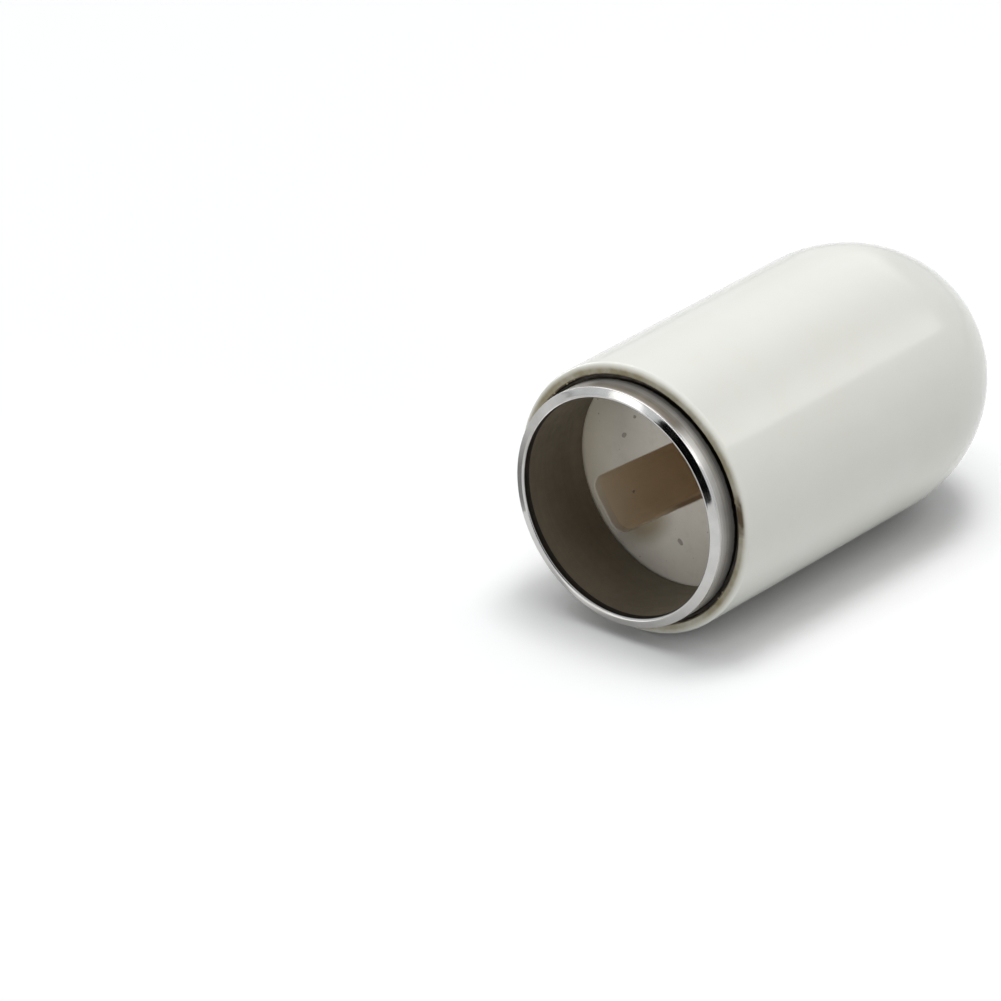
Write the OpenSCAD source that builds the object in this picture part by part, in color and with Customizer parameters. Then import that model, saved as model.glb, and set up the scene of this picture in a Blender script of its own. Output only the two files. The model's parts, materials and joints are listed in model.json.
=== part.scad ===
// Stylus cap: a domed slip-on cap with a bright spigot collar, a slotted floor and two hidden magnets.
// Millimetres. The cap lies on its side: X runs along its axis from the mouth to the dome, and Z is up.
// The origin is the centre of the shell's mouth face, and the collar stands out of it towards -X.

/* [Shell] */
// Outside diameter of the shell
shell_d = 8.9; // [8:0.1:12]
// Length of the shell from its mouth face to the tip of the dome
shell_len = 15.7; // [15:0.1:22]
// Length of the domed end
dome_len = 5; // [4:0.1:6]
// Thickness of the shell at the tip of the dome
dome_wall = 0.7; // [0.5:0.05:1.2]
// Wall of the thin lip around the collar and the liner
lip_wall = 0.33; // [0.28:0.01:0.45]
// Rounding of the shell's outer mouth edge
mouth_round = 0.18; // [0.08:0.01:0.26]
// Width of the shoulder in the shell that stops the liner
shoulder_w = 0.34; // [0.3:0.01:0.4]

/* [Collar] */
// How far the collar stands out of the shell's mouth face
collar_proud = 0.87; // [0.6:0.01:1.5]
// Width of the glue groove between the shell's lip and the collar
groove_w = 0.18; // [0.12:0.01:0.26]
// Wall of the collar where it is pressed over the liner's neck
collar_wall = 0.15; // [0.12:0.01:0.22]
// How far the rim reaches in over the liner's front edge
rim_cover = 0.02; // [0.01:0.01:0.06]
// Slope of the rim's front face, from its inner edge back to its outer edge
rim_bevel = 0.12; // [0.05:0.01:0.25]
// Thickness of the rim along the axis at its bore
rim_t = 0.29; // [0.2:0.01:0.45]
// How far the collar's full diameter runs below the shell's mouth face
collar_land = 0.1; // [0.04:0.01:0.16]
// Taper of the collar's side down to its lower edge
collar_taper = 0.1; // [0.04:0.01:0.12]

/* [Liner] */
// Wall of the liner's neck
neck_wall = 0.15; // [0.12:0.01:0.22]
// Depth of the liner's shoulder below the mouth face, which is the bottom of the glue groove
groove_depth = 0.55; // [0.35:0.01:1.2]
// Edge break of the liner's bore where it meets the floor
liner_edge = 0.07; // [0.03:0.01:0.12]

/* [Floor and slot] */
// Depth of the floor below the shell's mouth face
floor_depth = 2.15; // [1.6:0.05:3.5]
// Thickness of the slotted floor plate
plate_t = 0.3; // [0.2:0.05:1]
// Width of the plug slot
slot_w = 1.95; // [1.6:0.05:2.4]
// Web of the floor plate outside each end of the plug slot
slot_web = 0.36; // [0.2:0.02:0.8]
// Corner radius of the plug slot
slot_corner = 0.5; // [0.2:0.05:0.75]
// Turn of the slot about the cap's axis
slot_turn = -35; // [-90:1:90]
// Depth of the plug's pocket behind the floor plate
pocket_depth = 5.4; // [4.5:0.1:6]

/* [Core and magnets] */
// Material of the core behind the end of the pocket
core_end = 0.8; // [0.5:0.1:1.4]
// Web of the core between the pocket and each magnet
core_web = 0.35; // [0.25:0.05:0.6]
// Web of the core between each magnet and the shell
core_rim = 0.4; // [0.25:0.05:0.6]
// Length of each magnet along the axis
magnet_len = 4; // [2:0.1:5]
// Diameter of the stem that reaches into the glue in the dome
stem_d = 2.2; // [1.6:0.1:2.4]

/* [Glue] */
// Depth of the glue's surface in the groove below the mouth face
glue_recess = 0.2; // [0.17:0.01:0.3]
// Thickness of the glue between the stem and the tip of the dome
glue_tip = 0.4; // [0.2:0.05:0.8]
// Length of the stem that stands in the glue
glue_grip = 0.8; // [0.4:0.05:1.5]

/* [Fits] */
// Clearance on the radius between pieces that are seated in each other
fit_gap = 0.02; // [0.01:0.01:0.04]

/* [Hidden] */
$fn = 96;
// Number of straight bands that make up the dome's curve
dome_steps = 40;
// How far a cut runs past the face that it opens
cut_over = 0.1;

// Radii from the outside in
shell_r = shell_d / 2;
lip_bore_r = shell_r - lip_wall;
liner_r = lip_bore_r - fit_gap;
collar_r = lip_bore_r - groove_w;
collar_bore_r = collar_r - collar_wall;
neck_r = collar_bore_r - fit_gap;
liner_bore_r = neck_r - neck_wall;
rim_bore_r = liner_bore_r - rim_cover;
core_bore_r = lip_bore_r - shoulder_w;
core_r = core_bore_r - fit_gap;
magnet_r = core_r - core_rim;

// Places along the axis from the mouth inwards
rim_back_x = rim_t - collar_proud;
plate_back_x = floor_depth + plate_t;
pocket_end_x = plate_back_x + pocket_depth;
core_end_x = pocket_end_x + core_end;
dome_x = shell_len - dome_len;
hollow_len = dome_len - dome_wall;
stem_end_x = shell_len - dome_wall - glue_tip;
glue_level_x = stem_end_x - glue_grip;

// Length of the plug slot across the floor plate
slot_len = 2 * (core_r - slot_web);
// Distance of each magnet's flat side from the slot's middle plane
magnet_flat = slot_w / 2 + core_web;

// Radius of the collar's tapered side at a depth below the mouth face
function collar_side_r(x) = collar_r - collar_taper * (x - collar_land) / (groove_depth - collar_land);

// Half of an elliptic dome as points of radius and place, from its wide end to its tip
function dome_points(r, h) = [for (i = [0:dome_steps]) [
    r * cos(90 * i / dome_steps),
    dome_x + h * sin(90 * i / dome_steps)]];

function reversed(points) = [for (i = [len(points) - 1:-1:0]) points[i]];

// A profile of radius and place, turned about the cap's axis
module turned() {
    rotate([0, 90, 0]) rotate_extrude() children();
}

// A round bar along the cap's axis
module bar(r, from_x, to_x) {
    translate([from_x, 0, 0]) rotate([0, 90, 0]) cylinder(r = r, h = to_x - from_x);
}

// The plug's outline, extruded along the axis
module plug_prism(from_x, to_x) {
    straight_w = slot_w - 2 * slot_corner;
    straight_len = slot_len - 2 * slot_corner;
    translate([from_x, 0, 0]) rotate([slot_turn, 0, 0]) rotate([0, 90, 0]) linear_extrude(to_x - from_x) {
        square([slot_w, straight_len], center = true);
        square([straight_w, slot_len], center = true);
        for (u = [-1, 1], v = [-1, 1])
            translate([u * straight_w / 2, v * straight_len / 2]) circle(r = slot_corner);
    }
}

// A segment of a round bar on one side of the slot, grown by a clearance
module magnet_segment(side, ease, from_x, to_x) {
    flat = magnet_flat - ease;
    r = magnet_r + ease;
    rotate([slot_turn, 0, 0]) intersection() {
        bar(r, from_x, to_x);
        translate([from_x, -r, side > 0 ? flat : -flat - r]) cube([to_x - from_x, 2 * r, r]);
    }
}

// The space inside the dome of the shell
module dome_hollow() {
    turned() polygon(concat([[0, dome_x]], dome_points(core_bore_r, hollow_len)));
}

// White moulded shell with a thin lip at the mouth and a shoulder for the liner
module cap_shell() {
    color([0.93, 0.93, 0.91]) turned() {
        polygon(concat(
            [[lip_bore_r, 0], [shell_r - mouth_round, 0],
                [shell_r - mouth_round, mouth_round], [shell_r, mouth_round]],
            dome_points(shell_r, dome_len),
            reversed(dome_points(core_bore_r, hollow_len)),
            [[core_bore_r, floor_depth], [lip_bore_r, floor_depth]]));
        intersection() {
            translate([shell_r - mouth_round, mouth_round]) circle(r = mouth_round);
            translate([shell_r - mouth_round, 0]) square(mouth_round);
        }
    }
}

// Bright collar with a bevelled rim, pressed over the liner's neck
module collar_ring() {
    color([0.78, 0.78, 0.78]) turned() polygon([
        [rim_bore_r, -collar_proud],
        [collar_r, rim_bevel - collar_proud],
        [collar_r, collar_land],
        [collar_side_r(groove_depth), groove_depth],
        [collar_bore_r, groove_depth],
        [collar_bore_r, rim_back_x],
        [rim_bore_r, rim_back_x]]);
}

// Bead of glue in the groove between the shell's lip and the collar
module collar_glue() {
    color([0.35, 0.28, 0.2]) turned() polygon([
        [collar_side_r(glue_recess), glue_recess],
        [lip_bore_r, glue_recess],
        [lip_bore_r, groove_depth],
        [collar_side_r(groove_depth), groove_depth]]);
}

// Matte sleeve glued into the lip, which carries the collar on its neck and traps the floor plate
module liner_sleeve() {
    color([0.3, 0.27, 0.23]) turned() polygon([
        [liner_bore_r, rim_back_x],
        [neck_r, rim_back_x],
        [neck_r, groove_depth],
        [liner_r, groove_depth],
        [liner_r, floor_depth],
        [liner_bore_r + liner_edge, floor_depth],
        [liner_bore_r, floor_depth - liner_edge]]);
}

// Pale floor disc with the plug slot
module slot_plate() {
    color([0.62, 0.6, 0.56]) difference() {
        bar(core_r, floor_depth, plate_back_x);
        plug_prism(floor_depth - cut_over, plate_back_x + cut_over);
    }
}

// Moulded core with the plug's pocket, two magnet pockets and a stem
module plug_core() {
    color([0.42, 0.33, 0.25]) difference() {
        union() {
            bar(core_r, plate_back_x, core_end_x);
            bar(stem_d / 2, core_end_x, stem_end_x);
        }
        plug_prism(plate_back_x - cut_over, pocket_end_x);
        for (side = [-1, 1])
            magnet_segment(side, fit_gap, plate_back_x - cut_over, plate_back_x + magnet_len + fit_gap);
    }
}

// Segment magnet above the slot
module magnet_upper() {
    color([0.7, 0.7, 0.72]) magnet_segment(1, 0, plate_back_x, plate_back_x + magnet_len);
}

// Segment magnet below the slot
module magnet_lower() {
    color([0.7, 0.7, 0.72]) magnet_segment(-1, 0, plate_back_x, plate_back_x + magnet_len);
}

// Glue that fills the tip of the dome around the core's stem
module dome_glue() {
    color([0.8, 0.75, 0.6]) difference() {
        intersection() {
            dome_hollow();
            bar(shell_r, glue_level_x, shell_len);
        }
        bar(stem_d / 2, glue_level_x - cut_over, stem_end_x);
    }
}

cap_shell();
collar_ring();
collar_glue();
liner_sleeve();
slot_plate();
plug_core();
magnet_upper();
magnet_lower();
dome_glue();
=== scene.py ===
import json
import math
import random

import bmesh
import bpy
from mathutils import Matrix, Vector


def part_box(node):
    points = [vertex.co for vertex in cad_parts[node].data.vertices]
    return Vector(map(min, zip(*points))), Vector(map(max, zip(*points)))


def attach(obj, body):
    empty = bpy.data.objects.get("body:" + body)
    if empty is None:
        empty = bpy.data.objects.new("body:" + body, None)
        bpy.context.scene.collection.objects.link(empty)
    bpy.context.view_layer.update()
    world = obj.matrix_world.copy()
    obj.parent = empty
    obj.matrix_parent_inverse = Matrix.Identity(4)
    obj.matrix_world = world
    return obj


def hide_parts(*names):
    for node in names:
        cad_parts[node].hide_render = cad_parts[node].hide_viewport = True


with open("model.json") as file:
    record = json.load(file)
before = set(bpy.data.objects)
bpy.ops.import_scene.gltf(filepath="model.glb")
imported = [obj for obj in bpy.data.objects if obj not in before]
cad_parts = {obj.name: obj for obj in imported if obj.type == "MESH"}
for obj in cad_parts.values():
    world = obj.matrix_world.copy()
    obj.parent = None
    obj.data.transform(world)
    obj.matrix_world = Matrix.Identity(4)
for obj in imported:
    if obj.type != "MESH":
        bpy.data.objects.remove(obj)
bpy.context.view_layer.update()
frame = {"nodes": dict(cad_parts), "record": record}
scene = bpy.context.scene
mm = 0.001

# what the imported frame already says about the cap, in metres
shellLow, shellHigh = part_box("cap_shell")
collarLow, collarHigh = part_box("collar_ring")
glueLow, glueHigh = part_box("collar_glue")
linerLow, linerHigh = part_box("liner_sleeve")
plateLow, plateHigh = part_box("slot_plate")
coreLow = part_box("plug_core")[0]
mountSizes = {mount["name"]: mount["dims"] for mount in frame["record"]["mounts"]}


def outerRadius(low, high):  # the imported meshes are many-sided, so the widest side counts
    return max(-low.y, high.y, -low.z, high.z)


shellRadius = outerRadius(shellLow, shellHigh)
collarRadius = outerRadius(collarLow, collarHigh)
linerRadius = outerRadius(linerLow, linerHigh)
plateRadius = outerRadius(plateLow, plateHigh)
rimBore = mountSizes["stylus_bore"]["r_mm"] * mm
fitGap = 0.02 * mm  # clearance between pieces that are seated in each other
print("frame loaded:", len(frame["nodes"]), "nodes")


# small helpers for node trees

def addNode(tree, kind, values=None, **settings):
    node = tree.nodes.new(kind)
    for key, value in settings.items():
        setattr(node, key, value)
    for key, value in (values or {}).items():
        if isinstance(value, bpy.types.NodeSocket):
            tree.links.new(value, node.inputs[key])
        else:
            node.inputs[key].default_value = value
    return node


def addSockets(tree, side, kind, *names):
    for name in names:
        tree.interface.new_socket(name, in_out=side, socket_type="NodeSocket" + kind)


def maths(tree, operation, first, second=0.0):
    return addNode(tree, "ShaderNodeMath", {0: first, 1: second}, operation=operation).outputs[0]


def product(tree, first, *others):
    for other in others:
        first = maths(tree, "MULTIPLY", first, other)
    return first


def ramp(tree, value, start, end, first=0.0, last=1.0, interpolation="LINEAR"):
    values = {"Value": value, "From Min": start, "From Max": end, "To Min": first, "To Max": last}
    return addNode(tree, "ShaderNodeMapRange", values, interpolation_type=interpolation).outputs[0]


def addNoise(tree, spot, scale, detail, roughness=0.5, seed=None):
    values = {"Vector": spot, "Scale": scale, "Detail": detail, "Roughness": roughness}
    if seed is None:
        return addNode(tree, "ShaderNodeTexNoise", values).outputs[0]
    return addNode(tree, "ShaderNodeTexNoise", {**values, "W": seed}, noise_dimensions="4D").outputs[0]


def combine(tree, **parts):
    return addNode(tree, "ShaderNodeCombineXYZ", parts).outputs[0]


def separate(tree, vector):
    return addNode(tree, "ShaderNodeSeparateXYZ", {0: vector}).outputs


def lengthOf(tree, vector):
    return addNode(tree, "ShaderNodeVectorMath", {0: vector}, operation="LENGTH").outputs["Value"]


def objectSpot(tree):
    return addNode(tree, "ShaderNodeTexCoord").outputs["Object"]


def polarParts(tree, spot):  # the place itself, its distance from the axis and its angle about it
    parts = separate(tree, spot)
    radius = lengthOf(tree, combine(tree, Y=parts["Y"], Z=parts["Z"]))
    return parts, radius, maths(tree, "ARCTAN2", parts["Z"], parts["Y"])


def bakeNodes(name, startMesh, tree, inputs):
    piece = bpy.data.objects.new(name, startMesh)
    scene.collection.objects.link(piece)
    modifier = piece.modifiers.new("nodes", "NODES")
    modifier.node_group = tree
    for item in tree.interface.items_tree:
        if item.in_out == "INPUT" and item.name in inputs:
            modifier[item.identifier] = inputs[item.name]
    graph = bpy.context.evaluated_depsgraph_get()
    plain = bpy.data.meshes.new_from_object(piece.evaluated_get(graph), depsgraph=graph)
    piece.modifiers.clear()
    piece.data = plain
    bpy.data.meshes.remove(startMesh)
    plain.name = name
    return piece


plainSharp = 28  # edges steeper than this stay sharp, in degrees


def finishMesh(piece, sharpAngle):
    sculpt = bmesh.new()
    sculpt.from_mesh(piece.data)
    bmesh.ops.recalc_face_normals(sculpt, faces=sculpt.faces)
    sculpt.to_mesh(piece.data)
    sculpt.free()
    piece.data.shade_smooth()
    piece.data.set_sharp_from_angle(angle=math.radians(sharpAngle))


# Geometry Nodes: a profile of (place on the axis, radius, lump weight) turned about X

turning = {
    "lumpDetail": 3.0,
    "weld": 1e-7,
}


def buildTurnTree():
    tree = bpy.data.node_groups.new("turnedProfile", "GeometryNodeTree")
    addSockets(tree, "INPUT", "Geometry", "Profile")
    addSockets(tree, "INPUT", "Int", "Segments")
    addSockets(tree, "INPUT", "Float", "Lump height", "Lump scale", "Lump seed")
    addSockets(tree, "INPUT", "Material", "Material")
    addSockets(tree, "OUTPUT", "Geometry", "Geometry")
    given = addNode(tree, "NodeGroupInput").outputs
    count = addNode(tree, "GeometryNodeAttributeDomainSize", {"Geometry": given["Profile"]},
                    component="MESH").outputs["Point Count"]
    ring = maths(tree, "ADD", given["Segments"], 1.0)
    grid = addNode(tree, "GeometryNodeMeshGrid", {"Vertices X": count, "Vertices Y": ring})
    index = addNode(tree, "GeometryNodeInputIndex").outputs[0]
    row = maths(tree, "FLOOR", maths(tree, "DIVIDE", index, ring))
    column = maths(tree, "MODULO", index, ring)
    place = addNode(tree, "GeometryNodeInputPosition").outputs[0]
    spot = addNode(tree, "GeometryNodeSampleIndex",
                   {"Geometry": given["Profile"], "Value": place, "Index": row},
                   data_type="FLOAT_VECTOR", domain="POINT")
    parts = separate(tree, spot.outputs[0])
    angle = maths(tree, "DIVIDE", maths(tree, "MULTIPLY", column, 2 * math.pi), given["Segments"])
    across = maths(tree, "MULTIPLY", parts["Y"], maths(tree, "COSINE", angle))
    upward = maths(tree, "MULTIPLY", parts["Y"], maths(tree, "SINE", angle))
    turned = combine(tree, X=parts["X"], Y=across, Z=upward)
    noise = addNoise(tree, turned, given["Lump scale"], turning["lumpDetail"], seed=given["Lump seed"])
    lump = maths(tree, "MULTIPLY", maths(tree, "SUBTRACT", 0.5, noise), given["Lump height"])
    offset = combine(tree, X=maths(tree, "MULTIPLY", lump, parts["Z"]))
    moved = addNode(tree, "GeometryNodeSetPosition",
                    {"Geometry": grid.outputs["Mesh"], "Position": turned, "Offset": offset})
    merged = addNode(tree, "GeometryNodeMergeByDistance",
                     {"Geometry": moved.outputs[0], "Distance": turning["weld"]})
    whole = addNode(tree, "GeometryNodeRealizeInstances", {"Geometry": merged.outputs[0]})
    dressed = addNode(tree, "GeometryNodeSetMaterial",
                      {"Geometry": whole.outputs[0], "Material": given["Material"]})
    addNode(tree, "NodeGroupOutput", {"Geometry": dressed.outputs[0]})
    return tree


# Geometry Nodes: grains on given points, flattened along X and roughened

graining = {
    "subdivisions": 3,
    "slimmest": 0.45,
    "slimSeed": 7.0,
    "turnSeed": 13.0,
    "dentPitch": 1.1,  # dents across the size of a grain
    "dentDetail": 2.0,
}


def buildGrainTree():
    tree = bpy.data.node_groups.new("scatteredGrains", "GeometryNodeTree")
    addSockets(tree, "INPUT", "Geometry", "Points")
    addSockets(tree, "INPUT", "Float", "Grain size", "Smallest share", "Thickness share", "Roughening")
    addSockets(tree, "INPUT", "Int", "Seed")
    addSockets(tree, "INPUT", "Material", "Material")
    addSockets(tree, "OUTPUT", "Geometry", "Geometry")
    given = addNode(tree, "NodeGroupInput").outputs
    ball = addNode(tree, "GeometryNodeMeshIcoSphere",
                   {"Radius": 1.0, "Subdivisions": graining["subdivisions"]})

    def drawn(low, high, seed):
        return addNode(tree, "FunctionNodeRandomValue", {2: low, 3: high, "Seed": seed},
                       data_type="FLOAT").outputs[1]

    wide = drawn(given["Smallest share"], 1.0, given["Seed"])
    slim = drawn(graining["slimmest"], 1.0, maths(tree, "ADD", given["Seed"], graining["slimSeed"]))
    turn = drawn(0.0, 2 * math.pi, maths(tree, "ADD", given["Seed"], graining["turnSeed"]))
    size = maths(tree, "MULTIPLY", wide, given["Grain size"])
    thick = maths(tree, "MULTIPLY", size, given["Thickness share"])
    narrow = maths(tree, "MULTIPLY", size, slim)
    grains = addNode(tree, "GeometryNodeInstanceOnPoints",
                     {"Points": given["Points"], "Instance": ball.outputs["Mesh"],
                      "Rotation": combine(tree, X=turn), "Scale": combine(tree, X=thick, Y=size, Z=narrow)})
    whole = addNode(tree, "GeometryNodeRealizeInstances", {"Geometry": grains.outputs[0]})
    pitch = maths(tree, "DIVIDE", graining["dentPitch"], given["Grain size"])
    noise = addNode(tree, "ShaderNodeTexNoise", {"Scale": pitch, "Detail": graining["dentDetail"]})
    dent = maths(tree, "SUBTRACT", noise.outputs[0], 0.5)
    push = product(tree, dent, given["Roughening"], given["Grain size"])
    normal = addNode(tree, "GeometryNodeInputNormal").outputs[0]
    shift = addNode(tree, "ShaderNodeVectorMath", {0: normal, "Scale": push}, operation="SCALE")
    rough = addNode(tree, "GeometryNodeSetPosition",
                    {"Geometry": whole.outputs[0], "Offset": shift.outputs[0]})
    smooth = addNode(tree, "GeometryNodeSetShadeSmooth", {"Geometry": rough.outputs[0]})
    dressed = addNode(tree, "GeometryNodeSetMaterial",
                      {"Geometry": smooth.outputs[0], "Material": given["Material"]})
    addNode(tree, "NodeGroupOutput", {"Geometry": dressed.outputs[0]})
    return tree


turnTree = buildTurnTree()
grainTree = buildGrainTree()


def profileMesh(name, points):
    mesh = bpy.data.meshes.new(name)
    vertices = [(point[0], point[1], point[2] if len(point) > 2 else 0.0) for point in points]
    mesh.from_pydata(vertices, [(i, i + 1) for i in range(len(points) - 1)], [])
    return mesh


def turnPiece(name, points, material, segments, sharpAngle=plainSharp, **lumps):
    inputs = {"Segments": segments, "Material": material, **lumps}
    piece = bakeNodes(name, profileMesh(name + "Profile", points), turnTree, inputs)
    finishMesh(piece, sharpAngle)
    return piece


def scatterGrains(name, points, material, **inputs):
    mesh = bpy.data.meshes.new(name + "Points")
    mesh.from_pydata(points, [], [])
    return bakeNodes(name, mesh, grainTree, {"Material": material, **inputs})


def arcPoints(middleX, middleR, radiusX, radiusR, fromDegrees, toDegrees, steps):
    points = []
    for i in range(steps + 1):
        angle = math.radians(fromDegrees + (toDegrees - fromDegrees) * i / steps)
        points.append((middleX + radiusX * math.cos(angle), middleR + radiusR * math.sin(angle)))
    return points


def adopt(piece, slotName, *nodeNames):
    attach(piece, "root")
    if nodeNames:
        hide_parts(*nodeNames)


# shader groups for mottling, turned rings, hairlines, and old glue with painted shade

effects = {
    "grainNoise": (5.0, 0.6),  # detail and roughness
    "grainSpread": (0.3, 0.7),  # stretch of the noise that fills the range
    "ringNoise": (3.0, 0.55),
    "scratchRuns": ((0.5, 3.0), (1.7, 8.0)),  # turn and seed of each set of hairlines
    "scratchTilt": 0.6,
    "scratchStretch": (0.06, 1.0, 1.0),
    "scratchDetail": 2.0,
    "scratchWidth": 0.012,
    "breakScale": 420.0,
    "breakDetail": 1.0,
    "breakGate": (0.5, 0.62),
    "stainNoise": (4.0, 0.65),
    "shadeTop": (0.2, 1.0),  # height as a share of the radius
    "patchFade": (0.5, 1.0),
    "patchClumps": (0.36, 0.56),
    "patchZone": (0.3, 0.75),
}


def newGroup(name, inputs, outputs):
    tree = bpy.data.node_groups.new(name, "ShaderNodeTree")
    addSockets(tree, "INPUT", "Float", *inputs)
    addSockets(tree, "OUTPUT", "Float", *outputs)
    return tree, addNode(tree, "NodeGroupInput").outputs, objectSpot(tree)


def buildFineGrain():  # soft mottling between two values
    tree, given, spot = newGroup("fineGrain", ("Scale", "Low", "High"), ("Value",))
    noise = addNoise(tree, spot, given["Scale"], *effects["grainNoise"])
    value = ramp(tree, noise, *effects["grainSpread"], given["Low"], given["High"])
    addNode(tree, "NodeGroupOutput", {"Value": value})
    return tree


def buildTurnedMarks():  # fine rings that a lathe leaves round the axis
    tree, given, spot = newGroup("turnedMarks", ("Scale", "Wander"), ("Value",))
    parts, radius, turn = polarParts(tree, spot)
    along = maths(tree, "MULTIPLY", parts["X"], given["Scale"])
    outward = maths(tree, "MULTIPLY", radius, given["Scale"])
    around = maths(tree, "MULTIPLY", maths(tree, "SINE", turn), given["Wander"])
    lines = combine(tree, X=along, Y=outward, Z=around)
    addNode(tree, "NodeGroupOutput", {"Value": addNoise(tree, lines, 1.0, *effects["ringNoise"])})
    return tree


def buildFineScratches():  # sparse hairlines from handling
    tree, given, spot = newGroup("fineScratches", ("Scale", "Amount"), ("Mask",))
    masks = []
    for turn, seed in effects["scratchRuns"]:
        mapping = addNode(tree, "ShaderNodeMapping",
                          {"Vector": spot, "Rotation": (turn, effects["scratchTilt"] * turn, turn),
                           "Scale": effects["scratchStretch"]})
        noise = addNoise(tree, mapping.outputs[0], given["Scale"], effects["scratchDetail"], seed=seed)
        edge = maths(tree, "ABSOLUTE", maths(tree, "SUBTRACT", noise, 0.5))
        masks.append(ramp(tree, edge, 0.0, effects["scratchWidth"], 1.0, 0.0))
    breaks = addNoise(tree, spot, effects["breakScale"], effects["breakDetail"])
    gate = ramp(tree, breaks, *effects["breakGate"])
    mask = product(tree, maths(tree, "MAXIMUM", *masks), gate, given["Amount"])
    addNode(tree, "NodeGroupOutput", {"Mask": mask})
    return tree


def buildGlueStainAndShade():  # thin film of old glue around the groove, between two radii and up to a depth, with painted shade that makes it heavier at the ring's top
    inputs = ("Inner radius", "Outer radius", "Depth", "Scale", "Amount", "Top amount",
              "Patch angle", "Patch spread")
    tree, given, spot = newGroup("glueStainAndShade", inputs, ("Film", "Patches"))
    parts, radius, turn = polarParts(tree, spot)
    height = maths(tree, "DIVIDE", parts["Z"], radius)
    high = ramp(tree, height, *effects["shadeTop"], 0.0, given["Top amount"])  # painted shade: heavier at the ring's top, where the end face gets less light
    near = ramp(tree, radius, given["Inner radius"], given["Outer radius"], 1.0, 0.0)
    shallow = ramp(tree, parts["X"], 0.0, given["Depth"], 1.0, 0.0)
    zone = maths(tree, "MULTIPLY", near, shallow)
    noise = addNoise(tree, spot, given["Scale"], *effects["stainNoise"])
    film = product(tree, zone, maths(tree, "ADD", given["Amount"], high), noise)
    apart = maths(tree, "ABSOLUTE", maths(tree, "SUBTRACT", turn, given["Patch angle"]))
    stretch = ramp(tree, maths(tree, "DIVIDE", apart, given["Patch spread"]), *effects["patchFade"], 1.0, 0.0)
    clumps = ramp(tree, noise, *effects["patchClumps"])
    patches = product(tree, clumps, stretch, ramp(tree, zone, *effects["patchZone"]))
    addNode(tree, "NodeGroupOutput", {"Film": film, "Patches": patches})
    return tree


fineGrain = buildFineGrain()
turnedMarks = buildTurnedMarks()
fineScratches = buildFineScratches()
glueStainAndShade = buildGlueStainAndShade()


def newFinish(name, metallic=0.0, ior=1.5, gloss=0.5):
    material = bpy.data.materials.new(name)
    material.use_nodes = True
    tree = material.node_tree
    tree.nodes.clear()
    shader = addNode(tree, "ShaderNodeBsdfPrincipled",
                     {"Metallic": metallic, "IOR": ior, "Specular IOR Level": gloss})
    addNode(tree, "ShaderNodeOutputMaterial", {"Surface": shader.outputs[0]})
    return material, tree, shader


def useGroup(tree, group, **values):
    return addNode(tree, "ShaderNodeGroup", values, node_tree=group).outputs


def mottled(tree, scale, low=0.0, high=1.0):
    return useGroup(tree, fineGrain, Scale=scale, Low=low, High=high)["Value"]


def scratched(tree, scale, amount):
    return useGroup(tree, fineScratches, Scale=scale, Amount=amount)["Mask"]


def opaque(colour):
    return colour if isinstance(colour, bpy.types.NodeSocket) else (*colour, 1.0)


def mixColours(tree, factor, first, second):
    node = addNode(tree, "ShaderNodeMix", {0: factor, 6: opaque(first), 7: opaque(second)}, data_type="RGBA")
    return node.outputs[2]


def dress(tree, shader, colour, roughness):
    tree.links.new(colour, shader.inputs["Base Color"])
    tree.links.new(roughness, shader.inputs["Roughness"])


def addBump(tree, shader, height, distance):
    bump = addNode(tree, "ShaderNodeBump", {"Height": height, "Distance": distance, "Strength": 1.0})
    tree.links.new(bump.outputs[0], shader.inputs["Normal"])


# white shell: gloss moulding, domed, with a thin lip at the mouth

shell = {
    "length": shellHigh.x,
    "domeLength": 5.0 * mm,
    "domeWall": 0.7 * mm,
    "lipBore": linerRadius + fitGap,
    "coreBore": plateRadius + fitGap,
    "mouthRound": 0.18 * mm,
    "edgeBreak": 0.02 * mm,
    "support": 0.05 * mm,  # rings beside the arcs keep the flats flat
    "faceSupport": 0.015 * mm,
    "segments": 288,
    "domeSteps": (48, 72),  # inside and outside
    "edgeSteps": 4,
    "mouthSteps": 14,
    "colour": (0.7, 0.7, 0.65),
    "warmColour": (0.68, 0.675, 0.615),
    "cloudScale": 260.0,
    # glue film colour, which also carries painted shade where the film is heavier at the ring's top
    "stainAndShadeColour": (0.25, 0.213, 0.118),
    "patchColour": (0.09, 0.065, 0.035),
    "stain": {"Inner radius": 4.25 * mm, "Outer radius": 4.43 * mm, "Depth": 0.16 * mm, "Scale": 700.0,
              "Amount": 1.45, "Top amount": 0.25, "Patch angle": math.radians(171),
              "Patch spread": math.radians(11)},
    "stainDulling": 0.35,
    "gloss": 0.32,
    "roughness": (0.135, 0.155),
    "satinScale": 1800.0,
    "rippleScale": 9000.0,
    "rippleHeight": 0.0002 * mm,
}


def shellFinish():
    material, tree, shader = newFinish("whiteGlossPlastic", gloss=shell["gloss"])
    base = mixColours(tree, mottled(tree, shell["cloudScale"]), shell["colour"], shell["warmColour"])
    # the glue film is partly real glue and partly painted shade, heavier at the ring's top
    stain = useGroup(tree, glueStainAndShade, **shell["stain"])
    filmed = mixColours(tree, stain["Film"], base, shell["stainAndShadeColour"])
    patched = mixColours(tree, stain["Patches"], filmed, shell["patchColour"])
    satin = mottled(tree, shell["satinScale"], *shell["roughness"])
    dulling = maths(tree, "MULTIPLY", stain["Film"], shell["stainDulling"])
    dress(tree, shader, patched, maths(tree, "ADD", satin, dulling))
    addBump(tree, shader, mottled(tree, shell["rippleScale"]), shell["rippleHeight"])
    return material


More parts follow.
